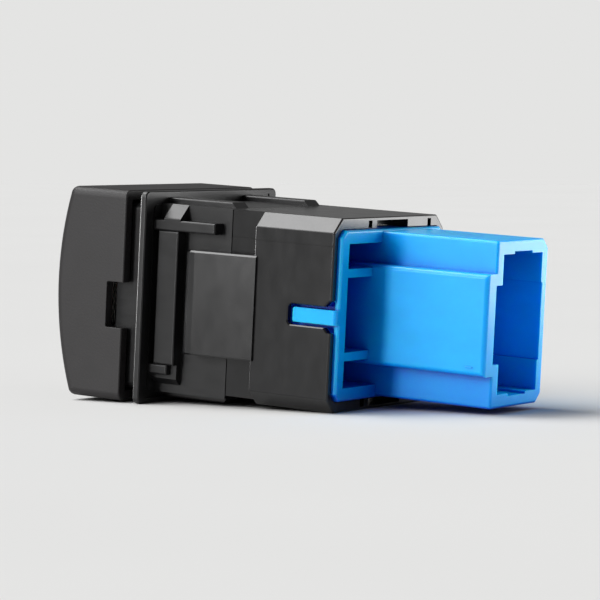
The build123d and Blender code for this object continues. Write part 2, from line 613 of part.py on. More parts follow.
def return_spring():
    """A coil round the stem, between the plunger's head and the bulkhead, with a closed turn at each end."""
    low = HEAD_REAR + SPRING_WIRE / 2
    high = BULKHEAD_START - SPRING_WIRE / 2
    closed = SPRING_WIRE + SPRING_END_GAP
    pitch = (high - low - 2 * closed) / SPRING_TURNS
    open_end = SPRING_TURNS + 1
    points = []
    for step in range((SPRING_TURNS + 2) * SPRING_POINTS + 1):
        turn = step / SPRING_POINTS
        rise = min(turn, 1) * closed + max(min(turn, open_end) - 1, 0) * pitch
        rise += max(turn - open_end, 0) * closed
        across = Vector(0, SPRING_DIAMETER / 2, 0).rotate(Axis.X, 360 * turn)
        points.append(Vector(low + rise, 0, 0) + across)
    path = Spline(*points)
    section = Plane(origin=path @ 0, z_dir=path % 0) * Circle(SPRING_WIRE / 2)
    return sweep(section, path=path, is_frenet=True)


def contact_leaf():
    """A T-shaped spring leaf staked to the end of the stem; its arms reach over the contact feet."""
    x = (STEM_END, LEAF_REAR)
    width = FOOT_WIDTH
    pad = bar(x, STEM_SIZE, STEM_SIZE)
    neck = block(x, (CONTACT_Y, 0), (-width / 2, width / 2))
    arms = bar(x, width, 2 * CONTACT_Z + width, CONTACT_Y)
    arms = fillet(arms.edges().filter_by(Axis.X), width / 3)
    return pad + neck + arms - rod(x, STAKE_DIAMETER)


def moving_contact(z):
    return rod((LEAF_REAR, MOVING_TIP), CONTACT_DIAMETER, CONTACT_Y, z)


def fixed_contact(z):
    return rod((FIXED_TIP, FOOT_FRONT), CONTACT_DIAMETER, CONTACT_Y, z)


def circuit_board():
    x = (BOARD_FRONT, BOARD_REAR)
    board = bar(x, BOARD_WIDTH, BOARD_HEIGHT)
    board -= bar(x, STEM_SIZE + 2 * STEM_GAP, STEM_SIZE + 2 * (BARB_HEIGHT + STEM_GAP))
    for y in (-STAKE_Y, STAKE_Y):
        for z in (-STAKE_Z, STAKE_Z):
            board -= rod(x, STAKE_PIN + LEG_GAP, y, z)
    for z in terminal_places()[1:-1]:
        board -= bar(x, BLADE_THICKNESS + LEG_GAP, BLADE_WIDTH + LEG_GAP, TERMINAL_Y, z)
    return board


def indicator_led():
    return bar((BOARD_FRONT - LED_SIZE[0], BOARD_FRONT), LED_SIZE[1], LED_SIZE[2], z=LIGHT_Z)


def light_guide():
    """A clear bar from the LED's window to just behind the plunger's head when it is pressed."""
    flange = bar((BULKHEAD_START - GUIDE_FLANGE_THICKNESS, BULKHEAD_START), *GUIDE_FLANGE, z=LIGHT_Z)
    return flange + bar((GUIDE_FRONT, BULKHEAD_START), *GUIDE_SIZE, z=LIGHT_Z)


def board_chip(z):
    return bar((BOARD_REAR, BOARD_REAR + CHIP_SIZE[0]), CHIP_SIZE[1], CHIP_SIZE[2], CHIP_Y, z)


def build():
    parts = {
        "front_housing": front_housing(),
        "rear_housing": rear_housing(),
        "connector_cover": connector_cover(),
        "button_cap": button_cap(),
        "indicator_lens": indicator_lens(),
        "plunger": plunger(),
        "return_spring": return_spring(),
        "contact_leaf": contact_leaf(),
        "circuit_board": circuit_board(),
        "indicator_led": indicator_led(),
        "light_guide": light_guide(),
        "series_resistor": board_chip(CHIP_Z),
        "protection_diode": board_chip(-CHIP_Z),
    }
    for number, z in ((1, -CONTACT_Z), (2, CONTACT_Z)):
        parts[f"moving_contact_{number}"] = moving_contact(z)
        parts[f"fixed_contact_{number}"] = fixed_contact(z)
    for index in range(TERMINAL_COUNT):
        parts[f"terminal_{index + 1}"] = terminal(index)
    return parts


os.makedirs("parts", exist_ok=True)
for name, solid in build().items():
    export_step(solid, f"parts/{name}.step")
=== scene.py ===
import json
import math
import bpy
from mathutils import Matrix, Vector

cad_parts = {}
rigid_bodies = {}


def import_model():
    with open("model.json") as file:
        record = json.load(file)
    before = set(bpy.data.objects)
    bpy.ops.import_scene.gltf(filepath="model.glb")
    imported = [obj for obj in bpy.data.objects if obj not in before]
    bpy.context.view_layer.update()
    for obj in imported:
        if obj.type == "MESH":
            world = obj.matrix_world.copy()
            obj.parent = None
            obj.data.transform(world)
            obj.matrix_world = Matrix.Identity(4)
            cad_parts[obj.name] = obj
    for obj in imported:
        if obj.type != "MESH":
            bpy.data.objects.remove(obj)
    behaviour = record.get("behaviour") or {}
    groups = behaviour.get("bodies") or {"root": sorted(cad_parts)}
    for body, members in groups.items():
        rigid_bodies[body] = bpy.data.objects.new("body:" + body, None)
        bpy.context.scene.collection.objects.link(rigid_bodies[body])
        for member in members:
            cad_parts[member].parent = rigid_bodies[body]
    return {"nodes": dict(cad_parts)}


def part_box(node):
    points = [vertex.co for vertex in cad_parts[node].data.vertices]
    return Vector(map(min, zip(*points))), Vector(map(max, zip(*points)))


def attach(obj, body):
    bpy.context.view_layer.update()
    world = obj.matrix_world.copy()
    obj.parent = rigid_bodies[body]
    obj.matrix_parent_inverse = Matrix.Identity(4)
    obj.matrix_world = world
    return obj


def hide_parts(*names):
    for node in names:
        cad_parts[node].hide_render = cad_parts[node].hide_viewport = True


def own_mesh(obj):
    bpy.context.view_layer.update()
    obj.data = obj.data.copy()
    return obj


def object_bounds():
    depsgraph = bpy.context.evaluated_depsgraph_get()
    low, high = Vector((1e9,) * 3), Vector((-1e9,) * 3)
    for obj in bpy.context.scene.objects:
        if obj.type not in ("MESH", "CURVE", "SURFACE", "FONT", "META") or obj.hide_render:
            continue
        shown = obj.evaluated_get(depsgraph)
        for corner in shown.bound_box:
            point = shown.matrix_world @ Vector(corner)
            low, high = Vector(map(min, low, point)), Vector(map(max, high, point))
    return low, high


bl_info = {
    "name": "Dashboard Pushbutton Switch",
    "version": (1, 0, 0),
    "blender": (4, 5, 0),
    "location": "View3D > Sidebar > Switch",
    "description": "Finishes a dashboard pushbutton switch and sets it on a pale floor",
    "category": "Object",
}

import bmesh
import bpy
from bpy.props import FloatProperty, FloatVectorProperty, PointerProperty
from mathutils import Matrix, Vector

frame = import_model()
CAD_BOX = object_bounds()

MM = 0.001  # one millimetre in scene units
WHITE = (1, 1, 1)
PATTERN_LOW, PATTERN_HIGH = 0.2, 0.8  # the part of a pattern's range that shows
MIX_SHARE, MIX_FIRST, MIX_SECOND, MIX_COLOUR = 0, 6, 7, 2  # the colour sockets of a Mix node, by number
WAVE_LENGTH = 0.314  # of a wave texture at scale 1; one wave spans two threads of a weave
SMALL_EDGE = 0.05  # mm, radius on the edges of contacts, terminals, board and chips
CAMERA_AIM = (-0.58, -0.345, 0.343)  # mm from the middle of the switch
SPRING_TURNS = 4  # open turns of the return spring, between one closed turn at each end
LEG_ROOM = 1.15  # half width of the solder's top, as a share of the leg's
SOLDER_TIP = 1.1  # how high the solder closes on the leg, as a share of its rise
SOFT_EDGE = 0.12  # bevel of a soft box, as a share of its shortest side
DOME = 0.18  # height of the LED window's dome, as a share of its radius
FLOOR_RINGS = (1.0, 0.8, 0.4, 0.15, 0.05)  # shares of its radius, closer together near the switch


# ---- colours and node building ----


def linear(hex_colour):
    """An sRGB hex colour as linear RGB."""
    values = [int(hex_colour[i : i + 2], 16) / 255 for i in (1, 3, 5)]
    return tuple(v / 12.92 if v <= 0.04045 else ((v + 0.055) / 1.055) ** 2.4 for v in values)


def rgba(rgb):
    return (*rgb, 1.0)


def add_node(owner, kind, settings=None, values=None, links=None):
    """Adds a node to a material or world, with its properties, its input values and its links."""
    node = owner.node_tree.nodes.new(kind)
    for name, value in (settings or {}).items():
        setattr(node, name, value)
    for name, value in (values or {}).items():
        node.inputs[name].default_value = value
    for name, source in (links or {}).items():
        owner.node_tree.links.new(source, node.inputs[name])
    return node


def new_material(name):
    material = bpy.data.materials.new(name)
    material.use_nodes = True
    material.node_tree.nodes.clear()
    return material


def soft_pattern(material, size_mm, detail=2, stretch=(1, 1, 1)):
    """An uneven pattern of patches about size_mm across, drawn out along each axis by a factor."""
    coords = add_node(material, "ShaderNodeTexCoord")
    mapping = add_node(
        material,
        "ShaderNodeMapping",
        values={"Scale": tuple(1 / factor for factor in stretch)},
        links={"Vector": coords.outputs["Object"]},
    )
    return add_node(
        material,
        "ShaderNodeTexNoise",
        values={"Scale": 1 / (size_mm * MM), "Detail": detail},
        links={"Vector": mapping.outputs["Vector"]},
    ).outputs["Fac"]


def shade(material, pattern, dark, light):
    """Varies a colour softly between two shades with a pattern."""
    share = add_node(
        material,
        "ShaderNodeMapRange",
        {"interpolation_type": "SMOOTHSTEP"},
        {"From Min": PATTERN_LOW, "From Max": PATTERN_HIGH},
        {"Value": pattern},
    )
    return add_node(
        material,
        "ShaderNodeMix",
        {"data_type": "RGBA"},
        {MIX_FIRST: rgba(dark), MIX_SECOND: rgba(light)},
        {MIX_SHARE: share.outputs["Result"]},
    ).outputs[MIX_COLOUR]


def relief(material, pattern, depth_mm, edge_mm=0.0):
    """A pattern pressed to a real depth into the surface, over edges that may be softly rounded."""
    links = {"Height": pattern}
    if edge_mm:
        edge = add_node(material, "ShaderNodeBevel", {"samples": 6}, {"Radius": edge_mm * MM})
        links["Normal"] = edge.outputs["Normal"]
    return add_node(
        material, "ShaderNodeBump", values={"Distance": depth_mm * MM}, links=links
    ).outputs["Normal"]


def finish(material, base_colour, roughness, normal, look):
    """Gives a material its shader. Roughness is a pattern with the lowest and the highest value.

    The look holds the shader's values that are the same all over the surface."""
    pattern, lowest, highest = roughness
    rough = add_node(
        material,
        "ShaderNodeMapRange",
        values={
            "From Min": PATTERN_LOW,
            "From Max": PATTERN_HIGH,
            "To Min": lowest,
            "To Max": highest,
        },
        links={"Value": pattern},
    )
    links = {"Base Color": base_colour, "Roughness": rough.outputs["Result"]}
    if normal:
        links["Normal"] = normal
    shader = add_node(material, "ShaderNodeBsdfPrincipled", values=look, links=links)
    add_node(material, "ShaderNodeOutputMaterial", links={"Surface": shader.outputs["BSDF"]})
    return material


def tint(rgb, factor):
    """A lighter or darker shade of a linear colour."""
    return tuple(min(1.0, value * factor) for value in rgb)


# ---- settings ----


def length(name, description, default_mm):
    return FloatProperty(
        name=name, description=description, default=default_mm * MM, unit="LENGTH", precision=6
    )


def colour(name, description, hex_colour):
    return FloatVectorProperty(
        name=name,
        description=description,
        default=linear(hex_colour),
        subtype="COLOR",
        size=3,
        min=0,
        max=1,
    )


def angle(name, description, degrees):
    return FloatProperty(
        name=name, description=description, default=math.radians(degrees), unit="ROTATION"
    )


def level(name, description, default):
    return FloatProperty(name=name, description=description, default=default, min=0)


class SwitchSizes(bpy.types.PropertyGroup):
    edge_round: length("Edge Round", "Radius that the mould leaves on outside edges", 0.14)
    grain: length("Cap Grain", "Spacing of the spark-eroded grain on the push cap", 0.22)
    # Painted shade: how far the ambient occlusion looks for enclosing surfaces when it paints the
    # connector's recesses a deeper blue.
    painted_shade_reach: length("Recess", "Depth over which recesses in the connector turn to the deep blue", 8.0)
    spring_wire: length("Spring Wire", "Diameter of the return spring's wire", 0.5)
    spring_end_gap: length("Spring End Gap", "Gap beside each of the spring's closed turns", 0.04)
    weave: length("Weave", "Spacing of the glass threads in the circuit board", 0.45)
    solder_rise: length("Solder Rise", "Height of a solder fillet above the board", 0.35)
    solder_skirt: length("Solder Skirt", "Radius of a solder fillet on the board", 0.85)
    chip_cap: length("Chip End Cap", "Length of a chip's tinned end", 0.5)
    chip_cap_skin: length("Chip End Skin", "How far the tinned end stands proud of the chip", 0.03)
    led_window: length("LED Window", "Diameter of the phosphor window in the LED", 1.1)


class SwitchColours(bpy.types.PropertyGroup):
    housing: colour("Housing", "Glass-filled nylon of the two housings", "#0E0E0F")
    cap: colour("Push Cap", "ABS of the push cap", "#1A1819")
    connector: colour("Connector", "PBT of the connector cover", "#00A4E6")
    # Painted shade: the deeper blue that is painted into the connector's recesses.
    connector_painted_shade: colour("Connector, Deep", "The same PBT in its deep recesses", "#004FC6")
    plunger: colour("Plunger", "Acetal of the plunger", "#E9E6DD")
    lens: colour("Lens", "Polycarbonate of the lens and light guide", "#DDE3E6")
    tin: colour("Tin", "Tin plating on the terminals", "#C9C8C2")
    steel: colour("Spring Steel", "Drawn wire of the return spring", "#A7A6A4")
    bronze: colour("Bronze", "Phosphor bronze of the contact leaf", "#C79A66")
    silver: colour("Silver", "Silver alloy of the contacts", "#E4E2DC")
    board: colour("Board", "Solder mask on the circuit board", "#1F6B43")
    chip: colour("Chip", "Moulded epoxy of the chips", "#222224")
    phosphor: colour("Phosphor", "Phosphor in the LED's window", "#E8D24A")


class StageSettings(bpy.types.PropertyGroup):
    azimuth: angle("Azimuth", "Camera's angle round the switch", 33.32)
    elevation: angle("Elevation", "Camera's angle above the switch", 4.90)
    roll: angle("Roll", "Camera's turn about its own axis", 2.735)
    distance: length("Distance", "From the camera to the middle of the switch", 324.4)
    lens: FloatProperty(name="Lens", description="Focal length", default=178.6, min=1, unit="CAMERA")
    floor_radius: length("Floor Radius", "Radius of the floor", 1500.0)
    floor: colour("Floor", "Pale backdrop paper", "#E4E4E3")
    backdrop: colour("Backdrop", "Pale studio seen behind the switch", "#E4E4E3")
    backdrop_gloss: level("Backdrop in Gloss", "Share of the backdrop that reflections show", 0.1)
    sky: level("Sky Level", "Light from the whole studio", 0.17)
    key: level("Key Level", "Softbox above the cap", 1.75)
    fill: level("Fill Level", "Larger softbox, high on the left in front", 1.8)
    strip: level("Strip Level", "Watts of the narrow softbox that brings out the snap arms", 1.1)
    side: level("Side Level", "Watts of the low softbox that lights the flange's edge", 0.19)
    rim: level("Rim Level", "Watts of the low softbox behind the connector", 0.053)


# ---- finishes ----


def nylon_black_moulded(colours):
    """Glass-filled nylon, injection moulded: near black, satin, with a faint mottle from the fibres."""
    material = new_material("nylon_black_moulded")
    # A fibre is 0.01 mm thick; the mottle of many is drawn this coarse so that it shows.
    mottle = soft_pattern(material, size_mm=0.9, detail=4, stretch=(3, 1, 1))
    fibre = soft_pattern(material, size_mm=0.4, detail=1, stretch=(2.5, 1, 1))
    return finish(
        material,
        base_colour=shade(material, mottle, tint(colours.housing, 0.8), tint(colours.housing, 1.25)),
        roughness=(mottle, 0.30, 0.38),
        normal=relief(material, fibre, depth_mm=0.0003),
        look={"IOR": 1.53, "Specular IOR Level": 0.38},
    )


def pbt_black_moulded(colours):
    """PBT from a finer tool: smoother than the nylon, so its bevels catch a cleaner highlight."""
    material = new_material("pbt_black_moulded")
    mottle = soft_pattern(material, size_mm=1.4, detail=3, stretch=(1, 1, 2))
    # The marks of the tool's polish are finer, and are drawn this coarse so that they show.
    grit = soft_pattern(material, size_mm=0.35, detail=1)
    return finish(
        material,
        base_colour=shade(material, mottle, tint(colours.housing, 0.75), tint(colours.housing, 1.1)),
        roughness=(mottle, 0.18, 0.25),
        normal=relief(material, grit, depth_mm=0.0006),
        look={"IOR": 1.55, "Specular IOR Level": 0.40},
    )


def abs_spark_eroded(colours, sizes):
    """ABS from a spark-eroded tool: a fine even grain that turns the shine into a soft matte sheen."""
    material = new_material("abs_spark_eroded")
    tone = soft_pattern(material, size_mm=3.0, detail=2)
    # Real grain of this kind is about half as wide; it is drawn coarser so that it shows.
    grain = soft_pattern(material, size_mm=sizes.grain / MM, detail=3)
    return finish(
        material,
        base_colour=shade(material, tone, tint(colours.cap, 0.9), tint(colours.cap, 1.12)),
        roughness=(grain, 0.46, 0.58),
        normal=relief(material, grain, depth_mm=0.012, edge_mm=sizes.edge_round / MM),
        look={"IOR": 1.54, "Specular IOR Level": 0.38},
    )


def pbt_blue_moulded(colours, sizes):
    """Dyed PBT, gloss moulded: light travels in it, so lit edges glow and recesses turn deeper blue,
    and painted shade darkens the recesses further.
    """
    material = new_material("pbt_blue_moulded")
    flow = soft_pattern(material, size_mm=2.6, detail=3, stretch=(2, 1, 1))
    ripple = soft_pattern(material, size_mm=2.0, detail=1, stretch=(2, 1, 1))
    lit = shade(material, flow, tint(colours.connector, 0.94), tint(colours.connector, 1.05))
    # Painted shade: the base colour is mixed towards the deep blue where ambient occlusion finds the
    # surface enclosed.
    openness = add_node(
        material, "ShaderNodeAmbientOcclusion", {"samples": 8}, {"Distance": sizes.painted_shade_reach}
    ).outputs["AO"]
    share = add_node(
        material,
        "ShaderNodeMapRange",
        values={"From Min": PATTERN_LOW, "From Max": PATTERN_HIGH},
        links={"Value": openness},
    )
    colour_with_painted_shade = add_node(
        material,
        "ShaderNodeMix",
        {"data_type": "RGBA"},
        {MIX_FIRST: rgba(colours.connector_painted_shade)},
        {MIX_SHARE: share.outputs["Result"], MIX_SECOND: lit},
    ).outputs[MIX_COLOUR]
    return finish(
        material,
        base_colour=colour_with_painted_shade,
        roughness=(flow, 0.27, 0.33),
        normal=relief(material, ripple, depth_mm=0.001),
        look={
            "IOR": 1.55,
            "Specular IOR Level": 0.28,
            "Subsurface Weight": 0.8,
            "Subsurface Radius": (0.12, 0.8, 1.6),
            "Subsurface Scale": MM,
        },
    )


def acetal_white_moulded(colours, sizes):
    """Natural acetal: waxy off-white with a soft gloss and a little depth."""
    material = new_material("acetal_white_moulded")
    flow = soft_pattern(material, size_mm=2.0, detail=2)
    return finish(
        material,
        base_colour=shade(material, flow, tint(colours.plunger, 0.95), colours.plunger),
        roughness=(flow, 0.35, 0.45),
        normal=relief(material, flow, depth_mm=0.003, edge_mm=sizes.edge_round / MM),
        look={
            "IOR": 1.48,
            "Subsurface Weight": 0.2,
            "Subsurface Radius": (1, 0.9, 0.8),
            "Subsurface Scale": MM,
        },
    )


def polycarbonate_polished(colours):
    """Polished polycarbonate: clear, with crisp highlights and a faint flow that bends the view."""
    material = new_material("polycarbonate_polished")
    flow = soft_pattern(material, size_mm=1.5, detail=1)
    return finish(
        material,
        base_colour=shade(material, flow, tint(colours.lens, 0.96), colours.lens),
        roughness=(flow, 0.06, 0.12),
        normal=relief(material, flow, depth_mm=0.004),
        look={"IOR": 1.585, "Transmission Weight": 0.9},
    )


def metal(name, tone, grain_mm, stretch, roughness, depth_mm):
    """A bare or plated metal whose rolling, drawing or turning leaves fine lines in one direction."""
    material = new_material(name)
    # Real lines are some hundredths of a millimetre wide; these are drawn wider so that they show.
    grain = soft_pattern(material, grain_mm, 3, stretch)
    return finish(
        material,
        base_colour=shade(material, grain, tint(tone, 0.88), tone),
        roughness=(grain, *roughness),
        normal=relief(material, grain, depth_mm, SMALL_EDGE),
        look={"Metallic": 1.0},
    )


def brass_tinned(colours):
    """Tin-plated brass: pale, slightly dull grey-white with fine lengthwise rolling lines."""
    return metal(
        "brass_tinned",
        colours.tin,
        grain_mm=0.12,
        stretch=(8, 1, 1),
        roughness=(0.24, 0.36),
        depth_mm=0.002,
    )


def steel_drawn_wire(colours):
    """Drawn spring wire: bright grey steel with faint die lines."""
    return metal(
        "steel_drawn_wire",
        colours.steel,
        grain_mm=0.1,
        stretch=(1, 3, 3),
        roughness=(0.22, 0.34),
        depth_mm=0.001,
    )


def bronze_rolled(colours):
    """Rolled phosphor bronze: warm brown-gold strip with lines along the rolling direction."""
    return metal(
        "bronze_rolled",
        colours.bronze,
        grain_mm=0.12,
        stretch=(1, 1, 9),
        roughness=(0.26, 0.4),
        depth_mm=0.002,
    )


def silver_turned(colours):
    """Silver alloy contact: pale, softly polished and lightly scuffed where the contacts meet."""
    return metal(
        "silver_turned",
        colours.silver,
        grain_mm=0.15,
        stretch=(1, 1, 1),
        roughness=(0.2, 0.35),
        depth_mm=0.002,
    )


def board_solder_mask(colours, sizes):
    """Green solder mask over glass weave: glossy lacquer in which the weave shows as a faint grid."""
    material = new_material("board_solder_mask")
    coords = add_node(material, "ShaderNodeTexCoord")
    across, along = (
        add_node(
            material,
            "ShaderNodeTexWave",
            {"bands_direction": direction},
            {"Scale": WAVE_LENGTH / (2 * sizes.weave), "Distortion": 0.6},
            {"Vector": coords.outputs["Object"]},
        ).outputs["Fac"]
        for direction in ("Y", "Z")
    )
    weave = add_node(
        material, "ShaderNodeMath", {"operation": "MULTIPLY"}, links={0: across, 1: along}
    ).outputs["Value"]
    return finish(
        material,
        base_colour=shade(material, weave, tint(colours.board, 0.8), tint(colours.board, 1.1)),
        roughness=(weave, 0.3, 0.42),
        normal=relief(material, weave, depth_mm=0.004, edge_mm=SMALL_EDGE),
        look={"IOR": 1.5, "Coat Weight": 0.6, "Coat Roughness": 0.12},
    )


def epoxy_black_moulded(colours):
    """Moulded epoxy of a chip: dark grey, matte and slightly sandy."""
    material = new_material("epoxy_black_moulded")
    # The filler's grains are about half this size; they are drawn larger so that they show.
    grain = soft_pattern(material, size_mm=0.1, detail=2)
    return finish(
        material,
        base_colour=shade(material, grain, tint(colours.chip, 0.85), tint(colours.chip, 1.2)),
        roughness=(grain, 0.5, 0.65),
        normal=relief(material, grain, depth_mm=0.006, edge_mm=SMALL_EDGE),
        look={"IOR": 1.55},
    )


def led_phosphor(colours):
    """Phosphor gel in the LED's window: matte yellow with a silicone skin."""
    material = new_material("led_phosphor")
    # Phosphor grains are about 0.02 mm; they are drawn larger so that they show.
    grain = soft_pattern(material, size_mm=0.08, detail=2)
    return finish(
        material,
        base_colour=shade(material, grain, tint(colours.phosphor, 0.9), colours.phosphor),
        roughness=(grain, 0.4, 0.5),
        normal=None,
        look={"IOR": 1.42, "Coat Weight": 0.3, "Coat Roughness": 0.2},
    )


def dress(material, *names):
    """Gives CAD nodes or new pieces one finish."""
    for name in names:
        piece = bpy.data.objects[name]
        piece.data.materials.clear()
        piece.data.materials.append(material)


# ---- pieces made here ----


def mesh_piece(name, build, body):
    """Makes a mesh object with a building function, and rides it on a body."""
    bm = bmesh.new()
    build(bm)
    bmesh.ops.recalc_face_normals(bm, faces=bm.faces)
    mesh = bpy.data.meshes.new(name)
    bm.to_mesh(mesh)
    bm.free()
    piece = bpy.data.objects.new(name, mesh)
    bpy.context.scene.collection.objects.link(piece)
    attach(piece, body)
    return piece


def circle(radius, steps):
    """Points spaced evenly round a circle, as pairs."""
    turns = [2 * math.pi * step / steps for step in range(steps)]
    return [(radius * math.cos(turn), radius * math.sin(turn)) for turn in turns]


def join_rings(bm, first, second):
    """Smooth faces between two rings of as many points; a ring of one point closes as a fan."""
    count = max(len(first), len(second))
    for i in range(count):
        j = (i + 1) % count
        corners = [
            first[i % len(first)],
            first[j % len(first)],
            second[j % len(second)],
            second[i % len(second)],
        ]
        bm.faces.new(list(dict.fromkeys(corners))).smooth = True


def revolve_x(bm, profile, centre, steps=24):
    """Turns a profile of (x, radius) points about the line along X through the centre."""
    rings = []
    for x, radius in profile:
        points = circle(radius, steps) if radius else [(0, 0)]
        rings.append([bm.verts.new((x, centre.y + y, centre.z + z)) for y, z in points])
    for first, second in zip(rings, rings[1:]):
        join_rings(bm, first, second)


def spring_coil(sizes):
    """The return spring, from the plunger's head to the bulkhead."""
    low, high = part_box("return_spring")
    centre = (low + high) / 2
    wire = sizes.spring_wire / 2
    coil = (high.y - low.y) / 2 - wire
    closed = 2 * wire + sizes.spring_end_gap
    pitch = (high.x - low.x - 2 * wire - 2 * closed) / SPRING_TURNS
    steps, sides = 24, 12

    def wire_ring(bm, turns):
        """A ring of points round the wire, where the coil has made so many turns."""
        open_turns = min(max(turns - 1, 0), SPRING_TURNS)
        rise = pitch if 0 < open_turns < SPRING_TURNS else closed
        x = low.x + wire + (turns - open_turns) * closed + open_turns * pitch
        around = 2 * math.pi * turns
        outward = Vector((0, math.cos(around), math.sin(around)))
        along = Vector((rise, -2 * math.pi * coil * outward.z, 2 * math.pi * coil * outward.y))
        sideways = along.normalized().cross(outward)
        place = Vector((x, centre.y, centre.z)) + outward * coil
        points = circle(wire, sides)
        return [bm.verts.new(place + out * outward + side * sideways) for out, side in points]

    def build(bm):
        rings = [wire_ring(bm, step / steps) for step in range((SPRING_TURNS + 2) * steps + 1)]
        for first, second in zip(rings, rings[1:]):
            join_rings(bm, first, second)
        bm.faces.new(rings[0])
        bm.faces.new(rings[-1])

    spring = mesh_piece("spring_coil", build, "body")
    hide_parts("return_spring")
    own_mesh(spring)
    return spring


def solder_joints(sizes):
    """A concave cone of solder round each terminal leg, on the side of the board towards the cap."""
    board_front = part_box("circuit_board")[0].x
    steps = 6

    def build(bm):
        for number in (2, 3, 4):
            low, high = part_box(f"terminal_{number}")
            centre = (low + high) / 2
            leg = (high.z - low.z) / 2 * LEG_ROOM
            profile = [(board_front, 0)]
            for i in range(steps + 1):
                along = i / steps
                radius = leg + (sizes.solder_skirt - leg) * (1 - along) ** 2
                profile.append((board_front - sizes.solder_rise * along, radius))
            profile.append((board_front - sizes.solder_rise * SOLDER_TIP, 0))
            revolve_x(bm, profile, centre)

    return mesh_piece("solder_joints", build, "body")


def soft_box(bm, low, high):
    """A box between two corners with its edges softened."""
    size = high - low
    place = Matrix.Translation((low + high) / 2) @ Matrix.Diagonal((*size, 1))
    made = bmesh.ops.create_cube(bm, size=1, matrix=place)
    edges = list({edge for vert in made["verts"] for edge in vert.link_edges})
    bmesh.ops.bevel(
        bm, geom=edges, offset=min(size) * SOFT_EDGE, segments=2, affect="EDGES", profile=0.5
    )


def chip_end_caps(sizes):
    """The tinned ends of the two chips, a skin's thickness larger than the chip all round."""
    skin = sizes.chip_cap_skin

    def build(bm):
        for name in ("series_resistor", "protection_diode"):
            low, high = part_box(name)
            ends = ((low.y - skin, low.y + sizes.chip_cap), (high.y - sizes.chip_cap, high.y + skin))
            for start, stop in ends:
                first = Vector((low.x, start, low.z - skin))
                last = Vector((high.x + skin, stop, high.z + skin))
                soft_box(bm, first, last)

    return mesh_piece("chip_end_caps", build, "body")


def led_window(sizes):
    """The round phosphor window on the LED's front face, slightly domed."""
    low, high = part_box("indicator_led")
    centre = (low + high) / 2
    radius = sizes.led_window / 2
    dome = radius * DOME
    steps = 4

    def build(bm):
        profile = [(low.x, 0), (low.x, radius)]
        for i in range(1, steps):
            turn = math.pi / 2 * i / steps
            profile.append((low.x - dome * math.sin(turn), radius * math.cos(turn)))
        profile.append((low.x - dome, 0))
        revolve_x(bm, profile, centre)

    return mesh_piece("led_window", build, "body")


# ---- stage ----


def floor_disc(settings):
    """A round floor under the two edges that the switch rests on, the flange's and the housing's."""
    flange_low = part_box("front_housing")[0]
    housing_low, housing_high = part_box("rear_housing")
    slope = math.atan2(housing_low.z - flange_low.z, housing_high.x)
    bm = bmesh.new()
    steps = 96
    rings = []
    for share in FLOOR_RINGS:
        points = circle(share * settings.floor_radius, steps)
        rings.append([bm.verts.new((x, y, 0)) for x, y in points])
    rings.append([bm.verts.new((0, 0, 0))])
    for first, second in zip(rings, rings[1:]):
        join_rings(bm, first, second)
    mesh = bpy.data.meshes.new("studio_floor")
    bm.to_mesh(mesh)
    bm.free()
    floor = bpy.data.objects.new("studio_floor", mesh)
    floor.matrix_world = Matrix.Translation((0, 0, flange_low.z)) @ Matrix.Rotation(-slope, 4, "Y")
    bpy.context.scene.collection.objects.link(floor)
    return floor


def floor_paper(settings):
    """Matte backdrop paper: pale, even and without shine, so only a soft shadow grounds the switch."""
    material = new_material("floor_paper")
    tone = soft_pattern(material, size_mm=60.0, detail=2)
    shader = add_node(
        material,
        "ShaderNodeBsdfPrincipled",
        values={"Specular IOR Level": 0.0, "Roughness": 1.0},
        links={"Base Color": shade(material, tone, tint(settings.floor, 0.985), settings.floor)},
    )
    add_node(material, "ShaderNodeOutputMaterial", links={"Surface": shader.outputs["BSDF"]})
    return material


def studio_world(settings):
    """A pale backdrop where the camera sees past the floor, and a softer even light everywhere else."""
    world = bpy.data.worlds.new("studio")
    world.use_nodes = True
    world.node_tree.nodes.clear()
    path = add_node(world, "ShaderNodeLightPath")
    gloss = add_node(
        world,
        "ShaderNodeMath",
        {"operation": "MULTIPLY"},
        {1: settings.backdrop_gloss},
        {0: path.outputs["Is Glossy Ray"]},
    )
    clear = add_node(
        world,
        "ShaderNodeMath",
        {"operation": "MAXIMUM"},
        links={0: path.outputs["Is Camera Ray"], 1: path.outputs["Is Transmission Ray"]},
    )
    share = add_node(
        world,
        "ShaderNodeMath",
        {"operation": "MAXIMUM"},
        links={0: clear.outputs[0], 1: gloss.outputs[0]},
    )
    sky = add_node(
        world, "ShaderNodeBackground", values={"Color": rgba(WHITE), "Strength": settings.sky}
    )
    backdrop = add_node(world, "ShaderNodeBackground", values={"Color": rgba(settings.backdrop)})
    mixed = add_node(
        world,
        "ShaderNodeMixShader",
        links={"Fac": share.outputs[0], 1: sky.outputs[0], 2: backdrop.outputs[0]},
    )
    add_node(world, "ShaderNodeOutputWorld", links={"Surface": mixed.outputs[0]})
    bpy.context.scene.world = world


def distant_softbox(name, strength, toward, width):
    """A soft lamp far away in the given direction, as wide as the given angle."""
    lamp = bpy.data.lights.new(name, "SUN")
    lamp.energy = strength
    lamp.angle = width
    holder = bpy.data.objects.new(name, lamp)
    holder.rotation_mode = "QUATERNION"
    holder.rotation_quaternion = Vector(toward).to_track_quat("Z", "Y")
    bpy.context.scene.collection.objects.link(holder)


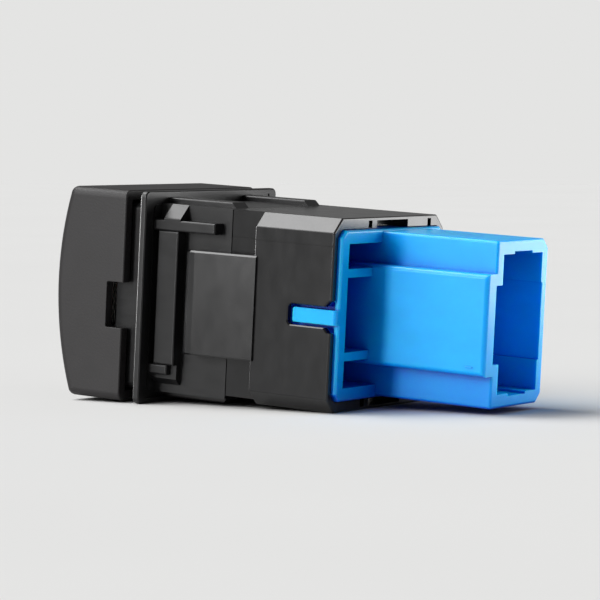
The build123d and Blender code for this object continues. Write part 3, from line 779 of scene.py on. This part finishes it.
def near_softbox(name, watts, centre_mm, facing_mm, size_mm, spared):
    """A flat rectangular softbox near the switch, facing a point and flagged off the spared things."""
    lamp = bpy.data.lights.new(name, "AREA")
    lamp.shape = "RECTANGLE"
    lamp.size, lamp.size_y = (side * MM for side in size_mm)
    lamp.energy = watts
    holder = bpy.data.objects.new(name, lamp)
    centre = Vector(centre_mm)
    turn = (centre - Vector(facing_mm)).to_track_quat("Z", "Y").to_matrix().to_4x4()
    holder.matrix_world = Matrix.Translation(centre * MM) @ turn
    holder.visible_camera = False
    bpy.context.scene.collection.objects.link(holder)
    lit = bpy.data.collections.new(f"{name}_lights")
    for piece in bpy.context.scene.objects:
        if piece.type == "MESH" and piece.name not in spared:
            lit.objects.link(piece)
    holder.light_linking.receiver_collection = lit


def product_camera(settings):
    """A long-lens camera aimed near the middle of the switch."""
    low, high = CAD_BOX
    aim = (Vector(low) + Vector(high)) / 2 + Vector(CAMERA_AIM) * MM
    turn, rise = settings.azimuth, settings.elevation
    back = Vector((math.sin(turn) * math.cos(rise), -math.cos(turn) * math.cos(rise), math.sin(rise)))
    data = bpy.data.cameras.new("product_camera")
    data.lens = settings.lens
    data.sensor_width = 36
    data.clip_start, data.clip_end = 0.01, 10
    camera = bpy.data.objects.new("product_camera", data)
    look = (-back).to_track_quat("-Z", "Y").to_matrix().to_4x4()
    roll = Matrix.Rotation(settings.roll, 4, "Z")
    camera.matrix_world = Matrix.Translation(aim + back * settings.distance) @ look @ roll
    bpy.context.scene.collection.objects.link(camera)
    bpy.context.scene.camera = camera


# ---- operators ----


class SWITCH_OT_housings(bpy.types.Operator):
    """Finish the front housing in black nylon and the rear housing in black PBT"""

    bl_idname = "switch.housings"
    bl_label = "Housings"

    def execute(self, context):
        colours = context.scene.switch_colours
        dress(nylon_black_moulded(colours), "front_housing")
        dress(pbt_black_moulded(colours), "rear_housing")
        return {"FINISHED"}


class SWITCH_OT_button(bpy.types.Operator):
    """Finish the push cap, its lens, the light guide and the plunger"""

    bl_idname = "switch.button"
    bl_label = "Push Cap and Plunger"

    def execute(self, context):
        colours, sizes = context.scene.switch_colours, context.scene.switch_sizes
        dress(abs_spark_eroded(colours, sizes), "button_cap")
        dress(polycarbonate_polished(colours), "indicator_lens", "light_guide")
        dress(acetal_white_moulded(colours, sizes), "plunger")
        return {"FINISHED"}


class SWITCH_OT_connector(bpy.types.Operator):
    """Finish the blue connector cover and the terminals in it"""

    bl_idname = "switch.connector"
    bl_label = "Connector"

    def execute(self, context):
        colours, sizes = context.scene.switch_colours, context.scene.switch_sizes
        dress(pbt_blue_moulded(colours, sizes), "connector_cover")
        terminals = sorted(name for name in frame["nodes"] if name.startswith("terminal_"))
        dress(brass_tinned(colours), *terminals)
        return {"FINISHED"}


class SWITCH_OT_contacts(bpy.types.Operator):
    """Make the return spring's coil, and finish it, the contact leaf and the contacts"""

    bl_idname = "switch.contacts"
    bl_label = "Spring and Contacts"

    def execute(self, context):
        colours, sizes = context.scene.switch_colours, context.scene.switch_sizes
        dress(steel_drawn_wire(colours), spring_coil(sizes).name)
        dress(bronze_rolled(colours), "contact_leaf")
        contacts = sorted(name for name in frame["nodes"] if "_contact_" in name)
        dress(silver_turned(colours), *contacts)
        return {"FINISHED"}


class SWITCH_OT_board(bpy.types.Operator):
    """Finish the circuit board and add its solder, chip ends and LED window"""

    bl_idname = "switch.board"
    bl_label = "Circuit Board"

    def execute(self, context):
        colours, sizes = context.scene.switch_colours, context.scene.switch_sizes
        dress(board_solder_mask(colours, sizes), "circuit_board")
        dress(epoxy_black_moulded(colours), "series_resistor", "protection_diode")
        dress(acetal_white_moulded(colours, sizes), "indicator_led")
        dress(brass_tinned(colours), solder_joints(sizes).name, chip_end_caps(sizes).name)
        dress(led_phosphor(colours), led_window(sizes).name)
        return {"FINISHED"}


class SWITCH_OT_stage(bpy.types.Operator):
    """Add the floor, the lamps, the world and the camera"""

    bl_idname = "switch.stage"
    bl_label = "Stage"

    def execute(self, context):
        settings = context.scene.switch_stage
        floor = floor_disc(settings)
        floor.data.materials.append(floor_paper(settings))
        studio_world(settings)
        distant_softbox(
            "key_softbox", settings.key, toward=(-0.55, -0.09, 0.83), width=math.radians(31)
        )
        distant_softbox(
            "fill_softbox", settings.fill, toward=(-0.50, -0.62, 0.60), width=math.radians(50)
        )
        near_softbox(
            "strip_softbox",
            settings.strip,
            centre_mm=(-108, -393, 95),
            facing_mm=(9, -11, 0),
            size_mm=(70, 210),
            spared=(floor.name,),
        )
        near_softbox(
            "rim_softbox",
            settings.rim,
            centre_mm=(72, 47, 16),
            facing_mm=(38, 3, 0),
            size_mm=(64, 44),
            spared=(floor.name,),
        )
        near_softbox(
            "side_softbox",
            settings.side,
            centre_mm=(-95, -24, 12),
            facing_mm=(0, -10, 0),
            size_mm=(44, 54),
            spared=(floor.name, "button_cap", "indicator_lens"),
        )
        product_camera(settings)
        context.scene.view_settings.view_transform = "Standard"
        return {"FINISHED"}


class SWITCH_PT_panel(bpy.types.Panel):
    """Sidebar panel with the switch's pieces and the stage"""

    bl_label = "Pushbutton Switch"
    bl_idname = "SWITCH_PT_panel"
    bl_space_type = "VIEW_3D"
    bl_region_type = "UI"
    bl_category = "Switch"

    def draw(self, context):
        column = self.layout.column()
        for operator in OPERATORS:
            column.operator(operator.bl_idname)
        for group in ("switch_sizes", "switch_colours", "switch_stage"):
            settings = getattr(context.scene, group)
            for name in settings.bl_rna.properties.keys():
                if name not in ("rna_type", "name"):
                    column.prop(settings, name)


OPERATORS = (
    SWITCH_OT_housings,
    SWITCH_OT_button,
    SWITCH_OT_connector,
    SWITCH_OT_contacts,
    SWITCH_OT_board,
    SWITCH_OT_stage,
)
CLASSES = (SwitchSizes, SwitchColours, StageSettings, *OPERATORS, SWITCH_PT_panel)


def register():
    for cls in CLASSES:
        bpy.utils.register_class(cls)
    bpy.types.Scene.switch_sizes = PointerProperty(type=SwitchSizes)
    bpy.types.Scene.switch_colours = PointerProperty(type=SwitchColours)
    bpy.types.Scene.switch_stage = PointerProperty(type=StageSettings)


def unregister():
    del bpy.types.Scene.switch_stage
    del bpy.types.Scene.switch_colours
    del bpy.types.Scene.switch_sizes
    for cls in reversed(CLASSES):
        bpy.utils.unregister_class(cls)


def main():
    register()
    bpy.ops.switch.housings()
    bpy.ops.switch.button()
    bpy.ops.switch.connector()
    bpy.ops.switch.contacts()
    bpy.ops.switch.board()
    bpy.ops.switch.stage()


if __name__ == "__main__":
    main()
